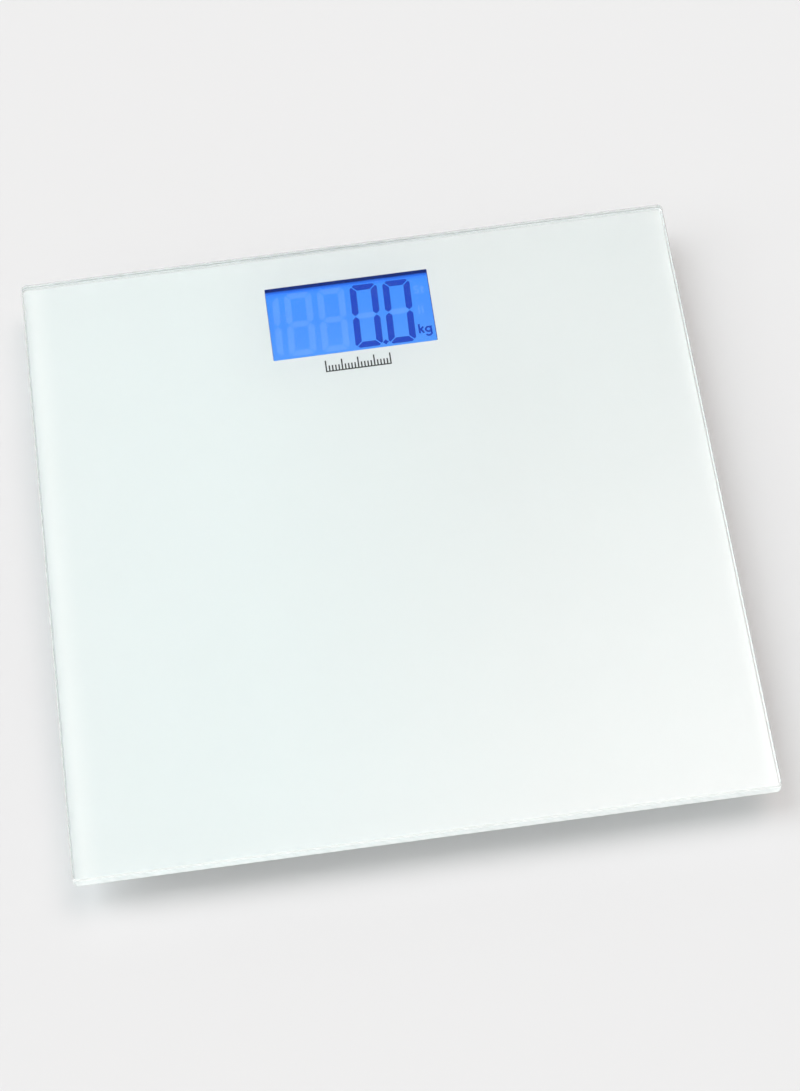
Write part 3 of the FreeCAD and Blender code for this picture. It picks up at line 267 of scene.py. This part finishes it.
def metal(name, colour, rough=(0.22, 0.4), stretch=(60, 1200, 60)):
    """Metal with fine drawn lines."""
    s = Shader(name)
    bsdf = s.principled(Metallic=1.0)
    mottled(s, bsdf, colour, 0.05, 200)
    lines = s.noise(1.0, 3, 0.6, s.stretched(stretch))
    s.link(s.spread(lines, *rough, *NOISE_SPAN), bsdf.inputs["Roughness"])
    s.link(s.bump(lines, 0.008 * MM), bsdf.inputs["Normal"])
    return s.material


def rubber(name, colour, rough=(0.6, 0.8), grain=2500.0, depth=0.03 * MM):
    return moulded_plastic(name, colour, rough, grain, depth)


# ---- batteries: places along a cell run from 0 at its minus end to 1 at its plus end ----
CELL_HALF = 22.25 * MM
STEEL = (0.62, 0.62, 0.62)
DARK_PRINT = (0.02, 0.022, 0.026)
PALE_PRINT = (0.7, 0.7, 0.68)
COPPER_PRINT = (0.55, 0.27, 0.12)
JACKET_START = 0.02
PALE_START = 0.66
COPPER_START = 0.68
JACKET_END = 0.97
JACKET_PRINT = [
    (0.0, STEEL),
    (JACKET_START, DARK_PRINT),
    (PALE_START, PALE_PRINT),
    (COPPER_START, COPPER_PRINT),
    (JACKET_END, STEEL),
]


def battery_jacket(name, plus_side):
    """A dark printed jacket, with a copper band at the plus end, a pale ring and bare metal ends."""
    s = Shader(name)
    bsdf = s.principled(Coat_Weight=0.3)
    along = s.spread(s.axis("X"), 0.0, 1.0, -plus_side * CELL_HALF, plus_side * CELL_HALF)
    prints = s.ramp(along, JACKET_PRINT)
    prints.node.color_ramp.interpolation = "CONSTANT"
    grain = s.spread(s.noise(400, 3), 0.92, 1.0)
    s.link(s.blend(grain, (0, 0, 0, 1), prints), bsdf.inputs["Base Color"])
    bare = s.ramp(along, [(0.0, (1, 1, 1)), (JACKET_START, (0, 0, 0)), (JACKET_END, (1, 1, 1))])
    bare.node.color_ramp.interpolation = "CONSTANT"
    s.link(bare, bsdf.inputs["Metallic"])
    s.link(s.spread(s.noise(90, 3), 0.22, 0.36), bsdf.inputs["Roughness"])
    s.link(s.bump(s.noise(500, 2), 0.005 * MM), bsdf.inputs["Normal"])
    return s.material


# ---- glass and films ----
GLASS_TINT = (0.985, 1.0, 0.995, 1)
GLASS_BODY = (0.3, 0.8, 0.68, 1)
GLASS_DENSITY = 3.0
FLAT = 0.95                 # a face of the glass with a steeper normal than this is polished
END_ROUGHNESS = 0.4
LACQUER = (0.722, 0.76, 0.762)
# painted light: a paler band near each end of the glass, where light comes in through it
LACQUER_EDGE_PAINTED_LIGHT = (0.775, 0.8, 0.797)
# painted shade: the right half of the lacquer a shade darker and less green
LACQUER_RIGHT_PAINTED_SHADE = (0.708, 0.727, 0.728)
LACQUER_RIGHT_EDGE_PAINTED_LIGHT = (0.73, 0.745, 0.742)
LACQUER_AND_PAINTED_LIGHT_ACROSS = [          # from the left edge of the platform to the right one; painted light near both ends, painted shade on the right half
    (-HALF, LACQUER),
    (-HALF + 1.5 * MM, LACQUER),
    (-HALF + 5 * MM, LACQUER_EDGE_PAINTED_LIGHT),
    (-HALF + 13 * MM, LACQUER),
    (-0.4 * HALF, LACQUER),
    (0.4 * HALF, LACQUER_RIGHT_PAINTED_SHADE),
    (HALF - 6 * MM, LACQUER_RIGHT_PAINTED_SHADE),
    (HALF - 1.5 * MM, LACQUER_RIGHT_EDGE_PAINTED_LIGHT),
]
UNDERSIDE = (0.88, 0.88, 0.875)
GROUND_PALE = (0.92, 0.95, 0.94)    # the upper arris at the front
GROUND_SIDES_PAINTED_SHADE = (0.6, 0.61, 0.61)     # the upper arris at the other sides, darkened as painted shade
GROUND_BELOW = (0.95, 0.97, 0.98)   # the lower arris
FRONT_BAND = 1.2 * MM
GHOST_SHARE = 0.075
GHOST_LIGHT = 1.4


def let_lamps_through(s, bsdf, tint):
    """Light from the lamps passes straight through, so that what lies behind stays lit."""
    path = s.nodes.new("ShaderNodeLightPath")
    s.surface(s.mix(path.outputs["Is Shadow Ray"], bsdf.outputs[0], s.clear(tint).outputs[0]))


def platform_glass():
    """Clear float glass: polished faces, finely ground ends and a green body."""
    s = Shader("platform_glass")
    bsdf = s.principled(Base_Color=GLASS_TINT, IOR=1.52, Transmission_Weight=1.0)
    ground = s.math("LESS_THAN", s.math("ABSOLUTE", s.facing("Z")), FLAT)
    smear = s.spread(s.noise(9, 5, 0.6), 0.0, 0.012, 0.45, 0.75)
    s.link(s.math("ADD", smear, s.math("MULTIPLY", ground, END_ROUGHNESS)), bsdf.inputs["Roughness"])
    let_lamps_through(s, bsdf, GLASS_TINT)
    body = s.nodes.new("ShaderNodeVolumeAbsorption")
    body.inputs["Color"].default_value = GLASS_BODY
    body.inputs["Density"].default_value = GLASS_DENSITY
    s.link(body.outputs[0], s.output.inputs["Volume"])
    return s.material


def ground_glass():
    """Finely ground glass: a pale matt skin that lets part of the light through. Its upper arris is greyer
    at the back and sides as painted shade.
    """
    s = Shader("ground_glass")
    bsdf = s.principled(Roughness=0.6, Specular_IOR_Level=0.2)
    grain = s.spread(s.noise(700, 3), 0.94, 1.0)
    upper = s.math("GREATER_THAN", s.axis("Z"), MIDDLE_Z)
    front = s.math("LESS_THAN", s.axis("Y"), FRONT_BAND - HALF)
    # painted shade: the upper arris at the back and sides takes the grey colour
    painted_shade_mask = s.math("MULTIPLY", upper, s.math("SUBTRACT", 1.0, front))
    shade = s.blend(painted_shade_mask, (*GROUND_PALE, 1), (*GROUND_SIDES_PAINTED_SHADE, 1))
    shade = s.blend(s.math("SUBTRACT", 1.0, upper), shade, (*GROUND_BELOW, 1))
    s.link(s.blend(grain, (0, 0, 0, 1), shade), bsdf.inputs["Base Color"])
    s.surface(s.mix(s.spread(upper, 0.1, 0.5), bsdf.outputs[0], s.clear().outputs[0]))
    return s.material


def white_lacquer():
    """White lacquer. Painted light whitens it along two edges, where light comes in through the ends of the
    glass, and painted shade darkens its right half.
    """
    s = Shader("white_lacquer")
    bsdf = s.principled(Coat_Weight=0.2)
    across = s.math("ADD", s.axis("X"), s.spread(s.noise(14, 3), -0.8 * MM, 0.8 * MM))
    share = s.spread(across, 0.0, 1.0, -HALF, HALF)
    upper = s.ramp(share, [((x + HALF) / (2 * HALF), colour) for x, colour in LACQUER_AND_PAINTED_LIGHT_ACROSS])
    below = s.math("LESS_THAN", s.facing("Z"), 0.0)
    s.link(s.blend(below, upper, (*UNDERSIDE, 1)), bsdf.inputs["Base Color"])
    s.link(s.spread(s.noise(80, 3), 0.3, 0.42), bsdf.inputs["Roughness"])
    s.link(s.bump(s.noise(900, 3), 0.01 * MM), bsdf.inputs["Normal"])
    return s.material


def clear_layer(name, tint, rough, ior=1.08):
    """A thin clear layer: it lets the layers below show through unbent, and reflects a little."""
    s = Shader(name)
    gloss = s.nodes.new("ShaderNodeBsdfGlossy")
    s.link(s.spread(s.noise(120, 2), rough, rough + 0.04), gloss.inputs["Roughness"])
    clear = s.clear()
    deeper = tuple(0.99 * c for c in tint)
    s.link(s.ramp(s.noise(40, 2), [(0.0, tint), (1.0, deeper)]), clear.inputs["Color"])
    fresnel = s.nodes.new("ShaderNodeFresnel")
    fresnel.inputs["IOR"].default_value = ior
    s.surface(s.mix(fresnel.outputs[0], clear.outputs[0], gloss.outputs[0]))
    return s.material


def lit_film(name, stops, strength, base):
    """The blue ground of the display: light from below that fades towards its back edge; the colour stops
    can add painted shade there.
    """
    s = Shader(name)
    bsdf = s.principled(
        Roughness=0.5, Base_Color=(*base, 1), Emission_Strength=strength, Specular_IOR_Level=0.1
    )
    low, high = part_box("display_gasket")
    along = s.spread(s.axis("Y"), 0.0, 1.0, low.y, high.y)
    haze = s.spread(s.noise(70, 3), -0.004, 0.004)
    s.link(s.ramp(s.math("ADD", along, haze), stops), bsdf.inputs["Emission Color"])
    return s.material


def segment_ink(name, colour, light):
    """A liquid-crystal segment, faintly grained, that keeps a little of the light below."""
    s = Shader(name)
    bsdf = s.principled(Roughness=0.5, Emission_Strength=1.0, Specular_IOR_Level=0.1)
    mottled(s, bsdf, colour, 0.04, 300)
    low = tuple(0.94 * c for c in light)
    s.link(s.ramp(s.noise(250, 3), list(zip(NOISE_SPAN, (low, light)))), bsdf.inputs["Emission Color"])
    return s.material


def ghost_segment():
    """A segment that is off: a clear patch only a shade paler than its surroundings."""
    s = Shader("segment_unlit")
    veil = s.nodes.new("ShaderNodeEmission")
    veil.inputs["Strength"].default_value = GHOST_LIGHT
    pale = s.ramp(s.noise(200, 2), list(zip(NOISE_SPAN, ((0.32, 0.53, 1.0), (0.36, 0.58, 1.0)))))
    s.link(pale, veil.inputs["Color"])
    s.surface(s.mix(GHOST_SHARE, s.clear().outputs[0], veil.outputs[0]))
    return s.material


MAKERS = {
    "platform_glass": platform_glass,
    "white_lacquer": white_lacquer,
    "dark_ink": lambda: moulded_plastic("dark_ink", (0.006, 0.008, 0.008), (0.4, 0.5)),
    # painted light: the black foam is coloured dark blue for the blue backlight that falls on it
    "black_foam": lambda: moulded_plastic(
        "black_foam", (0.001, 0.035, 0.26), (0.7, 0.85), 3000, 0.04 * MM, Specular_IOR_Level=0.1
    ),
    "polariser": lambda: clear_layer("polariser", (0.97, 0.985, 1.0), 0.12, 1.15),
    "display_glass": lambda: clear_layer("display_glass", (0.985, 0.99, 1.0), 0.02),
    "seal_epoxy": lambda: moulded_plastic("seal_epoxy", (0.4, 0.42, 0.44)),
    "segment_lit": lambda: segment_ink("segment_lit", (0.0, 0.005, 0.03), (0.006, 0.06, 0.575)),
    "segment_unlit": ghost_segment,
    "blue_diffuser": lambda: lit_film(
        "blue_diffuser", [(0.0, (0.1, 0.38, 1.0)), (1.0, (0.08, 0.3, 0.95))], 1.0, (0.3, 0.5, 0.8)
    ),
    "clear_acrylic": lambda: clear_layer("clear_acrylic", (0.9, 0.95, 1.0), 0.03),
    "reflector_film": lambda: moulded_plastic(
        "reflector_film", (0.9, 0.91, 0.93), (0.15, 0.25), 300, 0.01 * MM
    ),
    "lamp_body": lambda: moulded_plastic("lamp_body", (0.85, 0.83, 0.6), (0.2, 0.3)),
    "white_plastic": lambda: moulded_plastic("white_plastic", (0.82, 0.82, 0.8)),
    "zebra_rubber": lambda: rubber("zebra_rubber", (0.6, 0.3, 0.35)),
    "board_green": lambda: moulded_plastic("board_green", (0.02, 0.17, 0.06), (0.25, 0.35), 900, 0.01 * MM),
    "chip_resin": lambda: moulded_plastic("chip_resin", (0.012, 0.012, 0.012), (0.2, 0.4), 500, 0.02 * MM),
    "component_body": lambda: moulded_plastic("component_body", (0.16, 0.11, 0.08), (0.35, 0.5)),
    "screw_steel": lambda: metal("screw_steel", (0.62, 0.62, 0.63)),
    "solder": lambda: metal("solder", (0.72, 0.73, 0.75), (0.15, 0.3), (300, 300, 300)),
    "switch_black": lambda: moulded_plastic("switch_black", (0.02, 0.02, 0.022)),
    "button_grey": lambda: moulded_plastic("button_grey", (0.3, 0.31, 0.33)),
    "foam_tape": lambda: rubber("foam_tape", (0.8, 0.8, 0.77), (0.7, 0.9), 3500, 0.06 * MM),
    "pod_plastic": lambda: moulded_plastic("pod_plastic", (0.76, 0.77, 0.77), depth=0.04 * MM),
    "label_film": lambda: moulded_plastic("label_film", (0.66, 0.67, 0.68), (0.25, 0.35), 700, 0.005 * MM),
    "battery_jacket": lambda: battery_jacket("battery_jacket", 1),
    "contact_nickel": lambda: metal("contact_nickel", (0.72, 0.7, 0.64)),
    "wire_grey": lambda: rubber("wire_grey", (0.2, 0.2, 0.22), (0.35, 0.5), 1500, 0.01 * MM),
    "wire_red": lambda: rubber("wire_red", (0.5, 0.02, 0.015), (0.35, 0.5), 1500, 0.01 * MM),
    "wire_black": lambda: rubber("wire_black", (0.015, 0.015, 0.017), (0.35, 0.5), 1500, 0.01 * MM),
    "wire_white": lambda: rubber("wire_white", (0.75, 0.75, 0.72), (0.35, 0.5), 1500, 0.01 * MM),
    "clip_plastic": lambda: moulded_plastic("clip_plastic", (0.8, 0.8, 0.78)),
    "gauge_sealant": lambda: rubber("gauge_sealant", (0.85, 0.85, 0.82), (0.4, 0.6), 400, 0.1 * MM),
    "foot_plastic": lambda: moulded_plastic("foot_plastic", (0.74, 0.75, 0.75), depth=0.04 * MM),
    "cell_steel": lambda: metal("cell_steel", (0.6, 0.6, 0.61)),
    "cap_plastic": lambda: moulded_plastic("cap_plastic", (0.12, 0.125, 0.13), depth=0.04 * MM),
    "foot_rubber": lambda: rubber("foot_rubber", (0.03, 0.03, 0.033)),
}


REAR_GLOW_AND_PAINTED_SHADE = [              # from the front of the display window to its back edge: the backlight's glow fading towards the back, then in the last stops a painted shadow of the window's back edge
    (0.0, (0.1, 0.352, 1.0)),
    (0.04, (0.09, 0.34, 1.0)),
    (0.5, (0.066, 0.305, 1.0)),
    (0.9, (0.055, 0.3, 1.0)),
    (0.932, (0.046, 0.275, 1.0)),
    (0.948, (0.039, 0.24, 0.98)),
    (0.96, (0.024, 0.18, 0.88)),
    (0.972, (0.02, 0.145, 0.79)),
    (0.984, (0.0, 0.036, 0.318)),
]


def dress_nodes():
    """Gives every CAD node the material of its slot, and two nodes their own variant of it."""
    made = {}
    for entry in frame["record"]["subparts"]:
        slot = entry["material_slot"]
        if slot not in made:
            made[slot] = MAKERS[slot]()
        node = NODES[entry["node"]]
        node.data.materials.clear()
        node.data.materials.append(made[slot])
    # the rear film glows, with a painted shadow of the window's back edge
    rear = lit_film("lit_rear_film", REAR_GLOW_AND_PAINTED_SHADE, 1.1, (0.0, 0.01, 0.05))
    NODES["lcd_rear_polariser"].data.materials[0] = rear
    NODES["battery_front"].data.materials[0] = battery_jacket("battery_jacket_turned", -1)


# ---- films in optical contact with the glass ----
FILM_SINK = 0.02 * MM
FILMS = {
    "white_lacquer_film": "white_back_print",
    "tick_mark_ink": "tick_mark_print",
    "lit_segment_film": "lcd_lit_segments",
    "unlit_segment_film": "lcd_unlit_segments",
}


def contact_film(name, node):
    """A film sunk a hair into the glass above it, as ink wets glass, so that no two faces share a plane."""
    mesh = NODES[node].data.copy()
    mesh.transform(Matrix.Translation((0, 0, FILM_SINK)))
    film = bpy.data.objects.new(name, mesh)
    bpy.context.scene.collection.objects.link(film)
    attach(film, "platform")
    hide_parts(node)


def make_films():
    for name, node in FILMS.items():
        contact_film(name, node)


# ---- ground arrises ----
GROUND_GAP = 0.01 * MM
GROUND_SKIN = 0.02 * MM
UPRIGHT = 0.2               # a face of the glass with a flatter normal than this is an upright side
WELD = 0.001 * MM


def sort_faces(shape):
    """Puts the faces in the order of their corners, since solidify adds some in a new order each run."""
    shape.verts.index_update()
    count = len(shape.verts)

    def order(face):
        first, second, third = sorted(vertex.index for vertex in face.verts)[:3]
        return (first * count + second) * count + third

    shape.faces.sort(key=order)


def ground_arrises():
    """The ground arrises of the glass: thin closed strips that lie on its chamfers."""
    shape = bmesh.new()
    shape.from_mesh(NODES["glass_platform"].data)
    rest = [face for face in shape.faces if not UPRIGHT < abs(face.normal.z) < FLAT]
    bmesh.ops.delete(shape, geom=rest, context="FACES")
    bmesh.ops.remove_doubles(shape, verts=shape.verts, dist=WELD)
    shape.normal_update()
    for vertex in shape.verts:
        vertex.co += (GROUND_GAP + GROUND_SKIN) * vertex.normal
    bmesh.ops.solidify(shape, geom=shape.faces[:], thickness=GROUND_SKIN)
    bmesh.ops.recalc_face_normals(shape, faces=shape.faces)
    sort_faces(shape)
    mesh = bpy.data.meshes.new("ground_glass_arrises")
    shape.to_mesh(mesh)
    shape.free()
    mesh.materials.clear()
    mesh.materials.append(ground_glass())
    strips = bpy.data.objects.new("ground_glass_arrises", mesh)
    bpy.context.scene.collection.objects.link(strips)
    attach(strips, "platform")
    strips.visible_shadow = False  # clear glass lets the light through to the lacquer


# ---- floor and light ----
def floor_material():
    """A pale matt floor that can be looked through from below, so that the underside can be seen."""
    s = Shader("floor")
    bsdf = s.principled(Roughness=0.9, Specular_IOR_Level=0.0)
    paler = tuple(1.006 * c for c in FLOOR)
    s.link(s.ramp(s.noise(3, 2), [(0.0, FLOOR), (1.0, paler)]), bsdf.inputs["Base Color"])
    below = s.nodes.new("ShaderNodeNewGeometry").outputs["Backfacing"]
    s.surface(s.mix(below, bsdf.outputs[0], s.clear().outputs[0]))
    return s.material


def make_floor():
    mesh = bpy.data.meshes.new("floor")
    corners = [(x * FLOOR_HALF, y * FLOOR_HALF, 0) for x, y in ((-1, -1), (1, -1), (1, 1), (-1, 1))]
    mesh.from_pydata(corners, [], [(0, 1, 2, 3)])
    floor = bpy.data.objects.new("floor", mesh)
    mesh.materials.append(floor_material())
    bpy.context.scene.collection.objects.link(floor)


def towards(azimuth, elevation):
    a, e = math.radians(azimuth), math.radians(elevation)
    return Vector((math.sin(a) * math.cos(e), math.cos(a) * math.cos(e), math.sin(e)))


def sun_lamp(name, azimuth, elevation, softness, strength, colour=(1, 1, 1)):
    """A far softbox, as wide as its softness in degrees."""
    data = bpy.data.lights.new(name, "SUN")
    data.angle = math.radians(softness)
    data.energy = strength
    data.color = colour
    lamp = bpy.data.objects.new(name, data)
    lamp.rotation_euler = towards(azimuth, elevation).to_track_quat("Z", "Y").to_euler()
    bpy.context.scene.collection.objects.link(lamp)
    return lamp


def under_lamp():
    """A lamp that lights the underside through the floor, but not the clear pieces."""
    under = sun_lamp("under", *UNDER_FROM, UNDER_SOFTNESS, UNDER_STRENGTH)
    blockers = bpy.data.collections.new("under_light_blockers")
    receivers = bpy.data.collections.new("under_light_receivers")
    for piece in bpy.context.scene.objects:
        if piece.type == "MESH" and piece.name != "floor":
            blockers.objects.link(piece)
            if piece.name not in CLEAR_PIECES:
                receivers.objects.link(piece)
    under.light_linking.blocker_collection = blockers
    under.light_linking.receiver_collection = receivers


def make_light():
    """Even light with a dark gap and a bright patch for the glass to mirror, and three lamps."""
    world = bpy.data.worlds.new("studio")
    bpy.context.scene.world = world
    world.use_nodes = True
    nodes, links = world.node_tree.nodes, world.node_tree.links
    direction = nodes.new("ShaderNodeTexCoord").outputs["Generated"]

    def facing(way):
        node = nodes.new("ShaderNodeVectorMath")
        node.operation = "DOT_PRODUCT"
        links.new(direction, node.inputs[0])
        node.inputs[1].default_value = way
        return node.outputs["Value"]

    def light(colour, strength):
        node = nodes.new("ShaderNodeBackground")
        node.inputs["Color"].default_value = (*colour, 1)
        links.new(strength, node.inputs["Strength"])
        return node.outputs[0]

    def patch(centre, radius, low, high):
        node = nodes.new("ShaderNodeMapRange")
        node.interpolation_type = "SMOOTHERSTEP"
        node.inputs["From Min"].default_value = math.cos(math.radians(radius))
        node.inputs["From Max"].default_value = 1.0
        node.inputs["To Min"].default_value = low
        node.inputs["To Max"].default_value = high
        links.new(facing(towards(*centre)), node.inputs["Value"])
        return node.outputs["Result"]

    both = nodes.new("ShaderNodeAddShader")
    even = light(AMBIENT_COLOUR, patch(DARK_CENTRE, DARK_RADIUS, AMBIENT, AMBIENT - DARK))
    glow = light(GLOW_COLOUR, patch(GLOW_CENTRE, GLOW_RADIUS, 0, GLOW))
    links.new(even, both.inputs[0])
    links.new(glow, both.inputs[1])
    backdrop = nodes.new("ShaderNodeBackground")
    backdrop.inputs["Color"].default_value = (*BACKDROP, 1)
    seen = nodes.new("ShaderNodeMixShader")
    links.new(nodes.new("ShaderNodeLightPath").outputs["Is Camera Ray"], seen.inputs[0])
    links.new(both.outputs[0], seen.inputs[1])
    links.new(backdrop.outputs[0], seen.inputs[2])
    links.new(seen.outputs[0], nodes["World Output"].inputs["Surface"])
    sun_lamp("key", *KEY_FROM, KEY_SOFTNESS, KEY_STRENGTH, KEY_COLOUR)
    sun_lamp("low", *LOW_FROM, LOW_SOFTNESS, LOW_STRENGTH)
    under_lamp()


def set_film():
    """Plain colours, and enough bounces for light to get through the layers of the display."""
    scene = bpy.context.scene
    scene.view_settings.view_transform = "Standard"
    scene.view_settings.look = "None"
    scene.cycles.use_denoising = True
    scene.cycles.max_bounces = 16
    scene.cycles.transmission_bounces = 12
    scene.cycles.transparent_max_bounces = 32
    scene.cycles.sample_clamp_indirect = 10


make_camera()
dress_nodes()
make_films()
ground_arrises()
make_floor()
make_light()
set_film()
